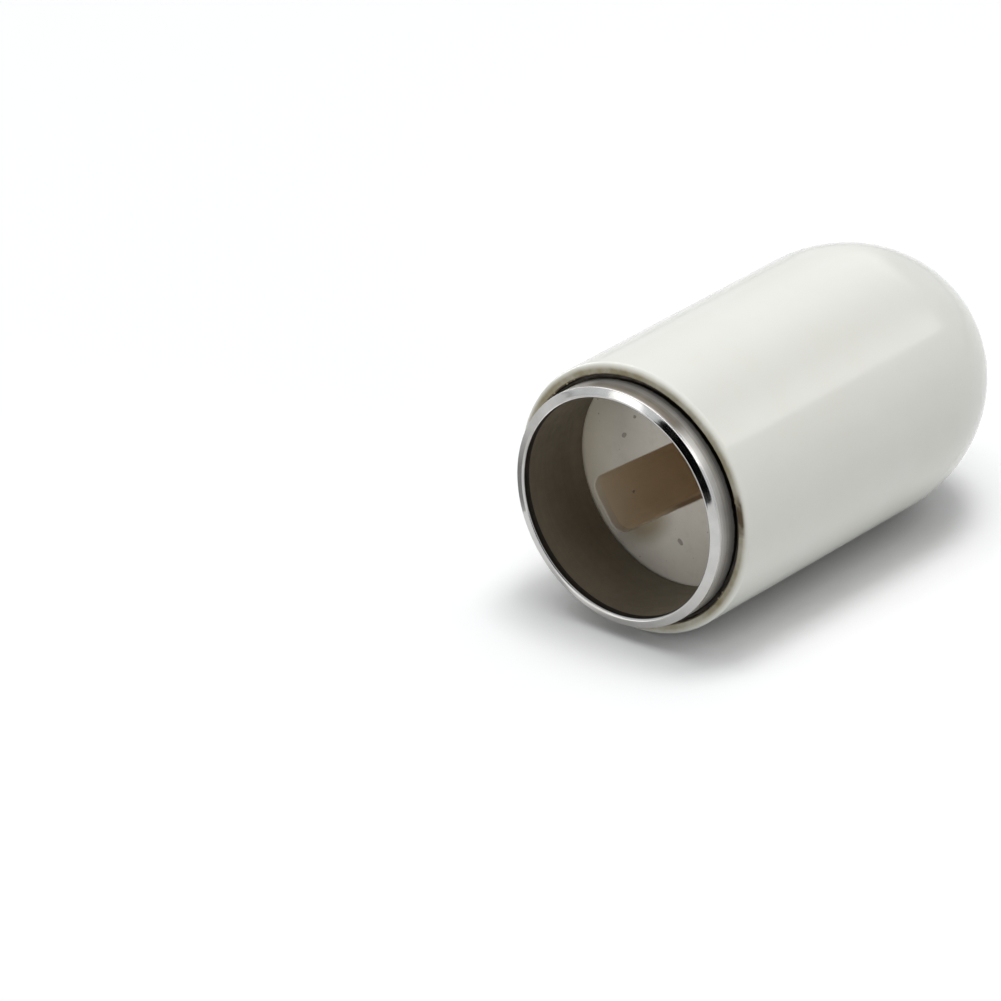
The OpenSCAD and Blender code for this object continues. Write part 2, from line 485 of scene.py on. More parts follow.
def makeShell():
    domeX = shell["length"] - shell["domeLength"]
    hollow = shell["domeLength"] - shell["domeWall"]
    lip = shell["lipBore"]
    seat = linerHigh.x
    edge = shell["edgeBreak"]
    rounding = shell["mouthRound"]
    support = shell["support"]
    insideSteps, outsideSteps = shell["domeSteps"]
    inside = arcPoints(domeX, 0.0, hollow, shell["coreBore"], 0, 90, insideSteps)
    outside = arcPoints(domeX, 0.0, shell["domeLength"], shellRadius, 0, 90, outsideSteps)
    inside[0] = (domeX + hollow, 0.0)
    outside[0] = (shell["length"], 0.0)
    points = inside
    points += [(seat, shell["coreBore"]), (seat, lip)]
    points += arcPoints(edge, lip + edge, edge, edge, 270, 180, shell["edgeSteps"])
    points.append((0.0, shellRadius - rounding - shell["faceSupport"]))
    points += arcPoints(rounding, shellRadius - rounding, rounding, rounding, 180, 90, shell["mouthSteps"])
    points += [(rounding + support, shellRadius), (domeX - support, shellRadius)]
    points += reversed(outside)
    piece = turnPiece("whiteShell", points, shellFinish(), shell["segments"])
    adopt(piece, "shell_plastic", "cap_shell")


makeShell()
print("shell turned")


# bright collar: bevelled rim, straight side down into the groove

collar = {
    "bore": collarRadius - 0.15 * mm,
    "rimBevel": 0.12 * mm,
    "rimThickness": 0.29 * mm,
    "rimCover": 0.02 * mm,  # how far the rim reaches in over the liner's edge
    "innerRound": 0.08 * mm,
    "outerRound": 0.025 * mm,
    "innerSteps": 8,
    "outerSteps": 10,
    "bevelRings": (0.1, 0.6),  # shares of the bevel where rings keep it flat
    "wallRing": 0.03 * mm,
    "land": 0.1 * mm,
    "taper": 0.1 * mm,
    "segments": 320,
    "colour": (0.56, 0.555, 0.54),
    "smudgeColour": (0.36, 0.35, 0.335),
    "smudgeScale": 330.0,
    "wallColour": (0.5, 0.485, 0.465),
    "wallShade": (0.36, 0.35, 0.33),
    "wallStart": (0.13 * mm, 0.22 * mm),  # behind the front, where polish turns to brushing
    "wallMetal": 0.78,
    "wallRoughness": 0.24,
    # painted shade on top of the side: its colour, place and reach; the film names here mean this painted
    # shade
    "filmColour": (0.155, 0.138, 0.115),
    "topShadeTurn": math.radians(98),  # painted shade: a darker stretch on top of the side, standing for a darker reflection there
    "topShadeSpread": (math.radians(22), math.radians(32)),
    "filmDepth": (-0.5 * mm, -0.15 * mm),
    "boreColour": (0.035, 0.03, 0.025),
    "boreStart": (0.05 * mm, 0.08 * mm),  # behind the front
    "boreEdge": (0.02 * mm, 0.05 * mm),  # outside the bore's radius
    "boreDulling": 0.4,
    # painted shade in the groove: the side behind the shell's face is near black
    "stainAndShadeColour": (0.016, 0.012, 0.007),
    "grooveShadeDepth": 0.05 * mm,
    "grooveShadeWander": 0.03 * mm,
    "wanderScale": 2400.0,
    "rimRoughness": (0.06, 0.14),
    "satinScale": 2600.0,
    "scratches": (2400.0, 0.12),  # scale and amount
    "rings": {"Scale": 16000.0, "Wander": 0.3},
    "ringSpread": (0.35, 0.65),
    "ringHeight": 0.0006 * mm,
}


def collarFinish():
    material, tree, shader = newFinish("brightSteel")
    front = collarLow.x
    parts, radius, turn = polarParts(tree, objectSpot(tree))
    steel = mixColours(tree, mottled(tree, collar["smudgeScale"]), collar["colour"], collar["smudgeColour"])

    # the side is brushed, the rim is polished
    onWall = ramp(tree, parts["X"], *(front + place for place in collar["wallStart"]))
    rings = useGroup(tree, turnedMarks, **collar["rings"])["Value"]
    lines = ramp(tree, rings, *collar["ringSpread"])
    side = mixColours(tree, lines, collar["wallColour"], collar["wallShade"])
    # painted shade on top of the side, standing for a darker reflection there
    apart = maths(tree, "ABSOLUTE", maths(tree, "SUBTRACT", turn, collar["topShadeTurn"]))
    around = ramp(tree, apart, *collar["topShadeSpread"], 1.0, 0.0, "SMOOTHSTEP")
    along = ramp(tree, parts["X"], *collar["filmDepth"], 1.0, 0.0, "SMOOTHSTEP")
    filmed = mixColours(tree, maths(tree, "MULTIPLY", around, along), side, collar["filmColour"])
    brushed = mixColours(tree, onWall, steel, filmed)

    # the bore behind the rim is dull and dark, and what stands in the groove is painted near black as painted
    # shade in the groove
    inBore = ramp(tree, parts["X"], *(front + place for place in collar["boreStart"]))
    nearBore = ramp(tree, radius, *(rimBore + place for place in collar["boreEdge"]), 1.0, 0.0)
    bore = maths(tree, "MULTIPLY", inBore, nearBore)
    dulled = mixColours(tree, bore, brushed, collar["boreColour"])
    wander = mottled(tree, collar["wanderScale"], -collar["grooveShadeWander"], collar["grooveShadeWander"])
    sunk = ramp(tree, maths(tree, "ADD", parts["X"], wander), 0.0, collar["grooveShadeDepth"])
    grooveShaded = mixColours(tree, sunk, dulled, collar["stainAndShadeColour"])

    satin = mottled(tree, collar["satinScale"], *collar["rimRoughness"])
    rougher = maths(tree, "ADD", satin, maths(tree, "MULTIPLY", onWall, collar["wallRoughness"]))
    rough = maths(tree, "ADD", rougher, scratched(tree, *collar["scratches"]))
    dulling = maths(tree, "MULTIPLY", bore, collar["boreDulling"])
    dress(tree, shader, grooveShaded, maths(tree, "ADD", rough, dulling))
    tree.links.new(ramp(tree, onWall, 0.0, 1.0, 1.0, collar["wallMetal"]), shader.inputs["Metallic"])
    addBump(tree, shader, rings, collar["ringHeight"])
    return material


def roundedCorner(corner, before, after, radius, steps):
    # arc that replaces the corner between two straight runs of a profile
    point, back, ahead = (Vector(p) for p in (corner, before, after))
    toBack = (back - point).normalized()
    toAhead = (ahead - point).normalized()
    halfAngle = toBack.angle(toAhead) / 2
    reach = radius / math.tan(halfAngle)
    middle = point + (toBack + toAhead).normalized() * (radius / math.sin(halfAngle))
    start = point + toBack * reach - middle
    end = point + toAhead * reach - middle
    sweep = start.angle_signed(end)
    points = []
    for i in range(steps + 1):
        angle = -sweep * i / steps
        turned = Vector((start.x * math.cos(angle) - start.y * math.sin(angle),
                         start.x * math.sin(angle) + start.y * math.cos(angle)))
        points.append(tuple(middle + turned))
    return points


def makeCollar():
    front = collarLow.x
    foot = collarHigh.x
    rimBack = front + collar["rimThickness"]
    inner = (front, rimBore)
    outer = (front + collar["rimBevel"], collarRadius)
    wallEnd = (collar["land"], collarRadius)
    start = (rimBack, rimBore)
    points = [start]
    points += roundedCorner(inner, start, outer, collar["innerRound"], collar["innerSteps"])
    points += [tuple(Vector(points[-1]).lerp(Vector(outer), share)) for share in collar["bevelRings"]]
    points += roundedCorner(outer, inner, wallEnd, collar["outerRound"], collar["outerSteps"])
    points.append((points[-1][0] + collar["wallRing"], collarRadius))
    points += [wallEnd, (foot, collarRadius - collar["taper"])]
    points += [(foot, collar["bore"]), (rimBack, collar["bore"]), start]
    piece = turnPiece("brightCollar", points, collarFinish(), collar["segments"])
    adopt(piece, "collar_steel", "collar_ring")


makeCollar()
print("collar turned")


# glue: lumpy bead in the groove, a film on the groove's outer wall and dried crumbs

glue = {
    "segments": 512,
    "sharpAngle": 60,
    "ior": 1.46,
    "mottleScale": 2200.0,
    "glossScale": 3500.0,
    "glossSpread": (-0.12, 0.15),
    "pitScale": 14000.0,
    "pitHeight": 0.004 * mm,
    "topSteps": 6,
    "topDip": 0.05 * mm,
    "edgeWeight": 0.35,  # lumps at the bead's edges, as a share of those in its middle
    "beadLumps": {"Lump height": 0.16 * mm, "Lump scale": 2600.0, "Lump seed": 5.0},
    "darkColour": (0.012, 0.009, 0.006),
    "paleColour": (0.05, 0.036, 0.02),
    "beadRoughness": 0.4,
    "filmDepth": 0.15 * mm,
    "filmThickness": 0.035 * mm,
    "filmOverlap": 0.004 * mm,
    "filmSteps": 10,
    "filmWeights": (0.1, 0.5),  # at the mouth's end and inside
    "filmLumps": {"Lump height": 0.1 * mm, "Lump scale": 3200.0, "Lump seed": 9.0},
    "filmColour": (0.32, 0.265, 0.175),
    "filmDark": (0.1, 0.075, 0.045),
    "filmRoughness": 0.5,
    "crumbColour": (0.46, 0.39, 0.27),
    "crumbDark": (0.3, 0.24, 0.15),
    "crumbRoughness": 0.55,
    "crumbDepth": 0.01 * mm,
    "crumbSpread": (0.05, 0.02),  # across the lip and its inward share, in mm
    "crumbShape": {"Smallest share": 0.4, "Thickness share": 0.14, "Roughening": 0.45},
    # arcs of residue at the groove: from angle, to angle, number, size in mm, seed
    "crumbArcs": ((34, 66, 9, 0.06, 4), (161, 165, 3, 0.07, 11), (206, 216, 4, 0.05, 23)),
}


def glueFinish(name, dark, pale, roughness):
    material, tree, shader = newFinish(name, ior=glue["ior"])
    colour = mixColours(tree, mottled(tree, glue["mottleScale"]), dark, pale)
    gloss = mottled(tree, glue["glossScale"], *(roughness + part for part in glue["glossSpread"]))
    dress(tree, shader, colour, gloss)
    addBump(tree, shader, mottled(tree, glue["pitScale"]), glue["pitHeight"])
    return material


def makeBead():
    taperStart = collar["land"]
    slope = collar["taper"] / (glueHigh.x - taperStart)
    inner = collarRadius - slope * (glueLow.x - taperStart)
    outer = shell["lipBore"]
    steps = glue["topSteps"]
    points = [(glueHigh.x, collarRadius - collar["taper"], 0.0)]
    for i in range(steps + 1):  # the free surface dips a little in the middle
        share = i / steps
        swell = math.sin(math.pi * share)
        weight = glue["edgeWeight"] + (1 - glue["edgeWeight"]) * swell
        points.append((glueLow.x + glue["topDip"] * swell, inner + (outer - inner) * share, weight))
    points += [(glueHigh.x, outer, 0.0), points[0]]
    finish = glueFinish("driedGlue", glue["darkColour"], glue["paleColour"], glue["beadRoughness"])
    bead = turnPiece("glueBead", points, finish, glue["segments"], glue["sharpAngle"], **glue["beadLumps"])
    adopt(bead, "groove_glue", "collar_glue")


def makeGlueFilm():
    half = glue["filmDepth"] / 2
    outer = shell["lipBore"]
    endWeight, weight = glue["filmWeights"]
    arc = arcPoints(half, outer, half, -glue["filmThickness"], 180, 0, glue["filmSteps"])
    points = [(x, r, weight) for x, r in arc]
    points[0] = (*points[0][:2], endWeight)
    points += [(half, outer + glue["filmOverlap"], 0.0), points[0]]
    finish = glueFinish("glueFilm", glue["filmDark"], glue["filmColour"], glue["filmRoughness"])
    film = turnPiece("glueFilm", points, finish, glue["segments"], glue["sharpAngle"], **glue["filmLumps"])
    adopt(film, "groove_glue")


def makeCrumbs():
    finish = glueFinish("glueCrumbs", glue["crumbDark"], glue["crumbColour"], glue["crumbRoughness"])
    spread, inward = glue["crumbSpread"]
    for number, (fromAngle, toAngle, count, size, seed) in enumerate(glue["crumbArcs"], 1):
        draw = random.Random(seed)
        spots = []
        for i in range(count):
            angle = math.radians(fromAngle + (toAngle - fromAngle) * (i + draw.random()) / count)
            radius = shell["lipBore"] + (spread * draw.random() - inward) * mm
            spots.append((glue["crumbDepth"], radius * math.cos(angle), radius * math.sin(angle)))
        crumbs = scatterGrains("glueCrumbs_%d" % number, spots, finish,
                               **{"Grain size": size * mm, "Seed": seed, **glue["crumbShape"]})
        adopt(crumbs, "groove_glue")


makeBead()
makeGlueFilm()
makeCrumbs()
print("glue laid")


# liner: matte bronze-grey sleeve that forms the wall inside the mouth

liner = {
    "bore": rimBore + collar["rimCover"],
    "neck": collar["bore"] - fitGap,
    "floorEdge": 0.07 * mm,
    "segments": 288,
    "colour": (0.19, 0.16, 0.114),
    "darkColour": (0.128, 0.108, 0.076),
    "metal": 0.35,
    "streakScale": 700.0,
    "rings": {"Scale": 9000.0, "Wander": 0.5},
    "shadeShare": 0.55,  # of streaks and rings together
    "ringHeight": 0.003 * mm,
    "roughness": (0.5, 0.68),
    "satinScale": 3200.0,
}


def linerFinish():
    material, tree, shader = newFinish("bronzeGreySleeve", metallic=liner["metal"])
    rings = useGroup(tree, turnedMarks, **liner["rings"])["Value"]
    marks = maths(tree, "ADD", mottled(tree, liner["streakScale"]), rings)
    shade = maths(tree, "MULTIPLY", marks, liner["shadeShare"])
    colour = mixColours(tree, shade, liner["darkColour"], liner["colour"])
    dress(tree, shader, colour, mottled(tree, liner["satinScale"], *liner["roughness"]))
    addBump(tree, shader, rings, liner["ringHeight"])
    return material


def makeLiner():
    back = linerLow.x
    step = collarHigh.x
    floor = linerHigh.x
    edge = liner["floorEdge"]
    points = [
        (back, liner["bore"]),
        (back, liner["neck"]),
        (step, liner["neck"]),
        (step, linerRadius),
        (floor, linerRadius),
        (floor, liner["bore"] + edge),
        (floor - edge, liner["bore"]),
        (back, liner["bore"]),
    ]
    piece = turnPiece("linerSleeve", points, linerFinish(), liner["segments"])
    adopt(piece, "liner_steel", "liner_sleeve")


makeLiner()
print("liner turned")


# floor plate: pale disc with a slot across it, its edges eased

plate = {
    "slotWidth": 1.95 * mm,
    "slotWeb": 0.36 * mm,
    "slotCorner": 0.5 * mm,
    "slotTurn": math.radians(-35),
    "edgeRound": 0.045 * mm,
    "edgeSteps": 4,
    "faceRing": 1.4,  # shares of the edge's rounding, keeps the face flat beside it
    "around": 480,
    "colour": (0.6, 0.57, 0.505),
    "warmColour": (0.54, 0.5, 0.435),
    "cloudScale": 520.0,
    "speckScale": 2600.0,
    "speckRange": (-0.3, 0.16),
    # painted light: colour of the plate's lighter side
    "paleColour": (0.85, 0.775, 0.63),
    "litSideReach": (2.1 * mm, 3.5 * mm),  # painted light: lighter towards one side, where more light reaches the plate
    "slotColour": (0.63, 0.55, 0.44),
    "slotDepth": (0.01 * mm, 0.12 * mm),
    "shadeColour": (0.3, 0.25, 0.175),
    "shadePlace": (1.15 * mm, -2.02 * mm),  # painted shade beside the slot's lower end
    "shadeSize": (1.55 * mm, 0.85 * mm),  # along the slot and across it
    "shadeFade": (0.2, 1.0),
    "roughness": (0.38, 0.55),
    "satinScale": 2600.0,
    "scratches": (1300.0, 0.25),  # scale and amount
    "grainScale": 11000.0,
    "grainHeight": 0.003 * mm,
    # marks: depth behind the plate's face, across, upward, size and thickness share
    "marks": ((0.0, 2.01, 0.8, 0.13, 0.1), (0.0, -0.24, -2.2, 0.13, 0.1), (0.0, 1.6, 1.55, 0.07, 0.1),
              (1.48, 2.77, -1.94, 0.055, 0.9)),
    "markColour": (0.26, 0.23, 0.195),
    "markRoughness": 0.6,
    "markShape": {"Smallest share": 0.9, "Roughening": 0.5},
    "dustCount": 18,
    "dustColour": (0.34, 0.3, 0.25),
    "dustDraw": 17,
    "dustShape": {"Grain size": 0.03 * mm, "Smallest share": 0.35, "Thickness share": 0.35,
                  "Roughening": 0.5, "Seed": 31},
}


def slotReach(angle, grow):
    # distance from the axis to the slot's outline, grown outwards, at an angle about the axis
    local = angle - plate["slotTurn"]
    along, across = abs(math.cos(local)), abs(math.sin(local))
    halfLength = plateRadius - plate["slotWeb"] + grow
    halfWidth = plate["slotWidth"] / 2 + grow
    corner = plate["slotCorner"] + grow
    straightLength, straightWidth = halfLength - corner, halfWidth - corner
    if along > 1e-9 and halfLength / along * across <= straightWidth:
        return halfLength / along
    if across > 1e-9 and halfWidth / across * along <= straightLength:
        return halfWidth / across
    toward = along * straightLength + across * straightWidth
    gap = straightLength ** 2 + straightWidth ** 2 - corner ** 2
    return toward + math.sqrt(toward ** 2 - gap)


def slotFrame(tree, spot, place, size=(1.0, 1.0, 1.0)):  # depth, place along the slot and across it
    return addNode(tree, "ShaderNodeMapping",
                   {"Vector": spot, "Location": place, "Rotation": (plate["slotTurn"], 0.0, 0.0),
                    "Scale": size}, vector_type="TEXTURE").outputs[0]


def plateFinish():
    material, tree, shader = newFinish("paleFloorPlastic")
    spot = objectSpot(tree)
    parts = separate(tree, spot)
    base = mixColours(tree, mottled(tree, plate["cloudScale"]), plate["colour"], plate["warmColour"])
    specks = mottled(tree, plate["speckScale"], *plate["speckRange"])
    dusty = mixColours(tree, specks, base, plate["dustColour"])

    # painted shade beside the slot's lower end, a browner wall in the slot and painted light on one side
    local = slotFrame(tree, spot, (plateLow.x, *plate["shadePlace"]), (1.0, *plate["shadeSize"]))
    shadeBesideSlot = ramp(tree, lengthOf(tree, local), *plate["shadeFade"], 1.0, 0.0, "SMOOTHSTEP")
    shaded = mixColours(tree, shadeBesideSlot, dusty, plate["shadeColour"])
    inSlot = ramp(tree, parts["X"], *(plateLow.x + depth for depth in plate["slotDepth"]))
    browned = mixColours(tree, inSlot, shaded, plate["slotColour"])
    litSide = mixColours(tree, ramp(tree, parts["Y"], *plate["litSideReach"]), browned, plate["paleColour"])

    satin = mottled(tree, plate["satinScale"], *plate["roughness"])
    dress(tree, shader, litSide, maths(tree, "ADD", satin, scratched(tree, *plate["scratches"])))
    addBump(tree, shader, mottled(tree, plate["grainScale"]), plate["grainHeight"])
    return material


def makePlate():
    front, back = plateLow.x, plateHigh.x
    edge = plate["edgeRound"]
    around = plate["around"]
    steps = plate["edgeSteps"]
    quarter = [math.radians(90 * i / steps) for i in range(steps + 1)]
    # each ring: place on the axis, growth of the slot outline or None, radius or None
    rings = [(front + edge * (1 - math.sin(angle)), edge * (1 - math.cos(angle)), None) for angle in quarter]
    rings.append((front, plate["faceRing"] * edge, None))
    rings += [(front + edge * (1 - math.cos(angle)), None, plateRadius - edge * (1 - math.sin(angle)))
              for angle in quarter]
    rings += [(back, None, plateRadius), (back, 0.0, None)]
    vertices = []
    for place, grow, radius in rings:
        for i in range(around):
            angle = 2 * math.pi * i / around
            reach = radius if grow is None else slotReach(angle, grow)
            vertices.append((place, reach * math.cos(angle), reach * math.sin(angle)))
    faces = []
    for r in range(len(rings)):
        upper = (r + 1) % len(rings)
        for i in range(around):
            after = (i + 1) % around
            faces.append((r * around + i, r * around + after, upper * around + after, upper * around + i))
    mesh = bpy.data.meshes.new("floorPlate")
    mesh.from_pydata(vertices, [], faces)
    mesh.materials.append(plateFinish())
    piece = bpy.data.objects.new("floorPlate", mesh)
    scene.collection.objects.link(piece)
    finishMesh(piece, plainSharp)
    adopt(piece, "plate_plastic", "slot_plate")


def makeFloorMarks():
    finish = glueFinish("floorMarks", plate["markColour"], plate["dustColour"], plate["markRoughness"])
    for number, (depth, across, upward, size, thickness) in enumerate(plate["marks"], 1):
        place = (plateLow.x + depth * mm, across * mm, upward * mm)
        mark = scatterGrains("floorMark_%d" % number, [place], finish,
                             **{"Grain size": size * mm, "Thickness share": thickness, "Seed": number,
                                **plate["markShape"]})
        adopt(mark, "plate_plastic")
    draw = random.Random(plate["dustDraw"])
    spots = []
    while len(spots) < plate["dustCount"]:
        angle = draw.uniform(0, 2 * math.pi)
        radius = liner["bore"] * math.sqrt(draw.random())
        if radius > slotReach(angle, 2 * plate["edgeRound"]):
            spots.append((plateLow.x, radius * math.cos(angle), radius * math.sin(angle)))
    dust = scatterGrains("floorDust", spots, finish, **plate["dustShape"])
    adopt(dust, "plate_plastic")


makePlate()
makeFloorMarks()
print("floor plate cut")


# pieces that keep the frame's own shape: core, magnets and the glue in the dome

core = {
    "colour": (0.86, 0.725, 0.54),
    "shade": (0.8, 0.67, 0.49),
    "cloudScale": 600.0,
    # painted shade on the front of the pocket's lower wall
    "lowerWallShadeColour": (0.3, 0.22, 0.145),
    "lowerWallShadeHeight": (0.01 * mm, 0.06 * mm),  # above the pocket's lower wall
    "lowerWallShadeDepth": (1.2 * mm, 2.8 * mm),  # behind the floor plate
    "lowerWallShadeEnd": (0.4 * mm, 1.6 * mm),  # along the slot from its middle, farther with depth
    "roughness": (0.42, 0.6),
    "satinScale": 2600.0,
    "grainScale": 8000.0,
    "grainHeight": 0.004 * mm,
}
magnets = {
    "nodes": ("magnet_upper", "magnet_lower"),
    "colour": (0.62, 0.62, 0.64),
    "shade": (0.5, 0.5, 0.53),
    "cloudScale": 900.0,
    "roughness": (0.22, 0.42),
    "satinScale": 4000.0,
    "scratches": (1500.0, 0.2),  # scale and amount
}
tip = {
    "colour": (0.62, 0.53, 0.34),
    "shade": (0.5, 0.4, 0.22),
    "roughness": 0.35,
}


def coreFinish():
    material, tree, shader = newFinish("brownCorePlastic")
    base = mixColours(tree, mottled(tree, core["cloudScale"]), core["colour"], core["shade"])
    parts = separate(tree, slotFrame(tree, objectSpot(tree), (coreLow.x, 0.0, 0.0)))

    # painted shade: the front of the pocket's lower wall is darker
    height = maths(tree, "ADD", parts["Z"], plate["slotWidth"] / 2)
    low = ramp(tree, height, *core["lowerWallShadeHeight"], 1.0, 0.0, "SMOOTHSTEP")
    shallow = ramp(tree, parts["X"], *core["lowerWallShadeDepth"], 1.0, 0.0, "SMOOTHSTEP")
    beside = maths(tree, "SUBTRACT", parts["Y"], parts["X"])
    along = ramp(tree, beside, *core["lowerWallShadeEnd"], 1.0, 0.0, "SMOOTHSTEP")
    lowerWallShaded = mixColours(tree, product(tree, low, shallow, along), base, core["lowerWallShadeColour"])
    dress(tree, shader, lowerWallShaded, mottled(tree, core["satinScale"], *core["roughness"]))
    addBump(tree, shader, mottled(tree, core["grainScale"]), core["grainHeight"])
    return material


def magnetFinish():
    material, tree, shader = newFinish("nickelPlate", metallic=1.0)
    colour = mixColours(tree, mottled(tree, magnets["cloudScale"]), magnets["colour"], magnets["shade"])
    satin = mottled(tree, magnets["satinScale"], *magnets["roughness"])
    dress(tree, shader, colour, maths(tree, "ADD", satin, scratched(tree, *magnets["scratches"])))
    return material


def dressNode(nodeName, material):
    slots = frame["nodes"][nodeName].data.materials
    slots.clear()
    slots.append(material)


dressNode("plug_core", coreFinish())
nickel = magnetFinish()
for nodeName in magnets["nodes"]:
    dressNode(nodeName, nickel)
dressNode("dome_glue", glueFinish("clearDriedGlue", tip["shade"], tip["colour"], tip["roughness"]))
print("inner pieces dressed")


# stage: pale floor, soft boxes, and cards that only reflections see

stage = {
    "floorSize": 3.0,
    "floorColour": (0.7, 0.7, 0.7),
    "floorSeen": (1.0, 1.0, 1.0),
    "contactShadowColour": (0.45, 0.45, 0.465),
    "contactReach": 1.5 * mm,
    "contactOpen": 0.55,
    "contactSamples": 16,
    "fill": 0.315,
    "fillColour": (0.94, 0.97, 1.0),
    "brightRadius": 0.25,
    "brightFrom": math.radians(-1),
    "brightTo": math.radians(142.5),
    "brightSteps": 24,
    "brightNear": 0.03,
    "brightFar": 0.5,
    "frontBand": (math.radians(113), math.radians(142.5)),
    "frontGlow": (0.9, 3.7),  # above the front edge and along it
    "backRise": (math.radians(5), math.radians(55)),
    "backFall": (math.radians(65), math.radians(110)),
    "backGlow": (1.3, 2.4, 0.9),  # along the back edge, above it and overhead
    "mouthGlow": 4.0,
    "mouthGlowEnd": (0.09, 0.16),
    "nearFade": (0.03, 0.08),  # no brighter than the room at the card's two ends
    "farFade": (0.36, 0.5),
    "rimPlace": (-0.855, 0.5, 0.11),
    "rimDistance": 0.3,
    "rimSize": (0.065, 0.07),
    "rimStrength": 2.4,
    "discCorners": 64,
}
discs = {  # place and half sizes in mm, 0 across the disc, its brightness and the share where it fades
    "darkDisc": ((-12.5, -0.8, 1.5), (0.0, 4.5, 4.5), 0.003, 0.94),
    "greyDisc": ((-2.1, 8.7, -2.9), (3.2, 0.0, 3.2), 0.35, 0.3),
    "paleDisc": ((-2.25, 2.0, -4.43), (1.4, 3.0, 0.0), 2.2, 0.7),
}
lamps = {  # direction from the cap, distance, width and depth in metres, brightness of the panel
    "keyBox": ((0.13, -0.05, 1.0), 0.35, 0.1, 0.1, 10.5),
    "wideBox": ((0.0, 0.02, 1.0), 0.36, 0.32, 0.28, 2.3),
    "frontBox": ((-0.1, -0.99, 0.1), 0.3, 0.3, 0.12, 2.2),
    "mouthBox": ((-0.92, 0.35, 0.12), 0.3, 0.25, 0.12, 3.0),
}


def seenDirectly(tree):  # 1 where the camera, a mirror or glass looks at the surface
    path = addNode(tree, "ShaderNodeLightPath").outputs
    seen = maths(tree, "MAXIMUM", path["Is Camera Ray"], path["Is Glossy Ray"])
    return maths(tree, "MAXIMUM", seen, path["Is Transmission Ray"])


def newStagePiece(name, vertices, faces):
    mesh = bpy.data.meshes.new(name)
    mesh.from_pydata(vertices, [], faces)
    material = bpy.data.materials.new(name + "Paper")
    material.use_nodes = True
    material.node_tree.nodes.clear()
    mesh.materials.append(material)
    piece = bpy.data.objects.new(name, mesh)
    scene.collection.objects.link(piece)
    return piece, material.node_tree


def showSurface(tree, surface):
    addNode(tree, "ShaderNodeOutputMaterial", {"Surface": surface.outputs[0]})


def onlyInReflections(piece):
    piece.visible_camera = False
    piece.visible_diffuse = False
    piece.visible_shadow = False
    piece.visible_transmission = False


def makeFloor():
    half = stage["floorSize"] / 2
    level = shellLow.z
    corners = [(-half, -half, level), (half, -half, level), (half, half, level), (-half, half, level)]
    floor, tree = newStagePiece("paleFloor", corners, [(0, 1, 2, 3)])
    # painted contact shadow: the floor's seen colour darkens where the cap is near it
    near = addNode(tree, "ShaderNodeAmbientOcclusion", {"Distance": stage["contactReach"]},
                   samples=stage["contactSamples"])
    free = ramp(tree, near.outputs["AO"], 0.0, stage["contactOpen"])
    seen = mixColours(tree, free, stage["contactShadowColour"], stage["floorSeen"])
    tone = mixColours(tree, seenDirectly(tree), stage["floorColour"], seen)
    showSurface(tree, addNode(tree, "ShaderNodeBsdfDiffuse", {"Color": tone}))


def makeDiscs():  # small soft-edged discs near the mouth, which the rim mirrors
    corners = stage["discCorners"]
    for name, (place, halves, brightness, fadeFrom) in discs.items():
        first, second = (axis for axis in range(3) if halves[axis])
        rim = []
        for i in range(corners):
            angle = 2 * math.pi * i / corners
            point = Vector(place)
            point[first] += halves[first] * math.cos(angle)
            point[second] += halves[second] * math.sin(angle)
            rim.append(point * mm)
        card, tree = newStagePiece(name, rim, [tuple(range(corners))])
        local = addNode(tree, "ShaderNodeMapping",
                        {"Vector": objectSpot(tree), "Location": Vector(place) * mm,
                         "Scale": [(half or 1.0) * mm for half in halves]}, vector_type="TEXTURE")
        solid = ramp(tree, lengthOf(tree, local.outputs[0]), fadeFrom, 1.0, 1.0, 0.0)
        clear = addNode(tree, "ShaderNodeBsdfTransparent")
        glow = addNode(tree, "ShaderNodeEmission", {"Strength": brightness})
        showSurface(tree, addNode(tree, "ShaderNodeMixShader",
                                  {0: solid, 1: clear.outputs[0], 2: glow.outputs[0]}))
        onlyInReflections(card)


def makeBrightCard():  # a curved card along the shell, whose front edge ends the gloss on its upper half
    steps = stage["brightSteps"]
    vertices = []
    for i in range(steps + 1):
        angle = stage["brightFrom"] + (stage["brightTo"] - stage["brightFrom"]) * i / steps
        across = stage["brightRadius"] * math.cos(angle)
        upward = stage["brightRadius"] * math.sin(angle)
        vertices += [(stage["brightNear"], across, upward), (stage["brightFar"], across, upward)]
    faces = [(2 * i, 2 * i + 1, 2 * i + 3, 2 * i + 2) for i in range(steps)]
    card, tree = newStagePiece("brightCard", vertices, faces)
    parts = separate(tree, objectSpot(tree))
    turn = maths(tree, "ARCTAN2", parts["Z"], parts["Y"])
    frontGlow = ramp(tree, turn, *stage["frontBand"], *stage["frontGlow"])
    edge, crest, overhead = stage["backGlow"]
    rise = ramp(tree, turn, *stage["backRise"], edge, crest, "SMOOTHSTEP")
    fall = ramp(tree, turn, *stage["backFall"], crest, overhead, "SMOOTHSTEP")
    strength = maths(tree, "MAXIMUM", frontGlow, maths(tree, "MINIMUM", rise, fall))
    # the end that the rounded mouth edge mirrors is brighter
    mouthGlow = ramp(tree, parts["X"], *stage["mouthGlowEnd"], stage["mouthGlow"], 0.0)
    whole = maths(tree, "ADD", strength, mouthGlow)
    nearer = ramp(tree, parts["X"], *stage["nearFade"], 1.0, whole, "SMOOTHSTEP")
    farther = ramp(tree, parts["X"], *stage["farFade"], nearer, 1.0, "SMOOTHSTEP")
    showSurface(tree, addNode(tree, "ShaderNodeEmission", {"Strength": farther}))
    onlyInReflections(card)


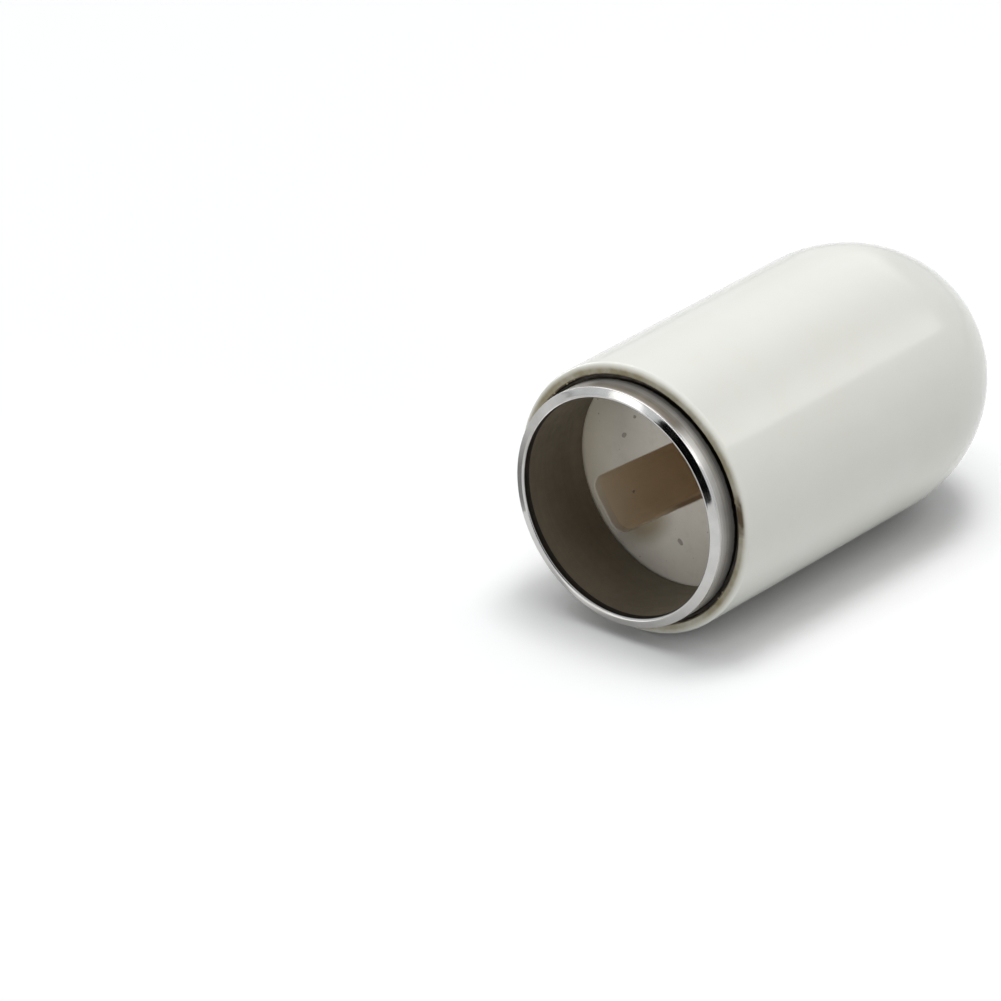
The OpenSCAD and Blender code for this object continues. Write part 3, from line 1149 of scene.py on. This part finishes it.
def makeRimCard():  # a small panel beside the mouth, which the rim mirrors at its top
    away = Vector(stage["rimPlace"]).normalized()
    across = Vector((-away.y, away.x, 0.0)).normalized() * stage["rimSize"][0] / 2
    upward = Vector((0.0, 0.0, stage["rimSize"][1] / 2))
    place = away * stage["rimDistance"]
    corners = [place - across - upward, place + across - upward,
               place + across + upward, place - across + upward]
    card, tree = newStagePiece("rimCard", corners, [(0, 1, 2, 3)])
    showSurface(tree, addNode(tree, "ShaderNodeEmission", {"Strength": stage["rimStrength"]}))
    onlyInReflections(card)


def makeLamps():
    for name, (direction, distance, width, depth, brightness) in lamps.items():
        data = bpy.data.lights.new(name, "AREA")
        data.shape = "RECTANGLE"
        data.size, data.size_y = width, depth
        data.energy = brightness * math.pi * width * depth
        lamp = bpy.data.objects.new(name, data)
        away = Vector(direction).normalized()
        lamp.location = away * distance
        lamp.rotation_euler = away.to_track_quat("Z", "Y").to_euler()
        lamp.visible_glossy = False  # the cards make the reflections
        scene.collection.objects.link(lamp)


def makeRoom():
    world = bpy.data.worlds.new("softRoom")
    scene.world = world
    world.use_nodes = True
    tree = world.node_tree
    tree.nodes.clear()
    strength = ramp(tree, seenDirectly(tree), 0.0, 1.0, stage["fill"], 1.0)
    sky = addNode(tree, "ShaderNodeBackground", {"Color": opaque(stage["fillColour"]), "Strength": strength})
    addNode(tree, "ShaderNodeOutputWorld", {"Surface": sky.outputs[0]})


makeFloor()
makeDiscs()
makeBrightCard()
makeRimCard()
makeLamps()
makeRoom()
print("stage lit")


# camera: long lens from the mouth's side, above the floor

view = {
    "azimuth": math.radians(-51.09),
    "elevation": math.radians(25.99),
    "place": (-174.60 * mm, -135.73 * mm, 107.77 * mm),
    "focalPixels": 8000,
    "imagePixels": 1001,
    "sensor": 36.0,
    "clip": (0.001, 10.0),
}


def makeCamera():
    data = bpy.data.cameras.new("photoCamera")
    data.sensor_width = view["sensor"]
    data.lens = view["focalPixels"] / view["imagePixels"] * view["sensor"]
    data.clip_start, data.clip_end = view["clip"]
    camera = bpy.data.objects.new("photoCamera", data)
    back = Vector((math.sin(view["azimuth"]) * math.cos(view["elevation"]),
                   -math.cos(view["azimuth"]) * math.cos(view["elevation"]),
                   math.sin(view["elevation"])))
    camera.location = view["place"]
    camera.rotation_euler = (-back).to_track_quat("-Z", "Y").to_euler()
    scene.collection.objects.link(camera)
    scene.camera = camera


makeCamera()
scene.view_settings.view_transform = "Standard"
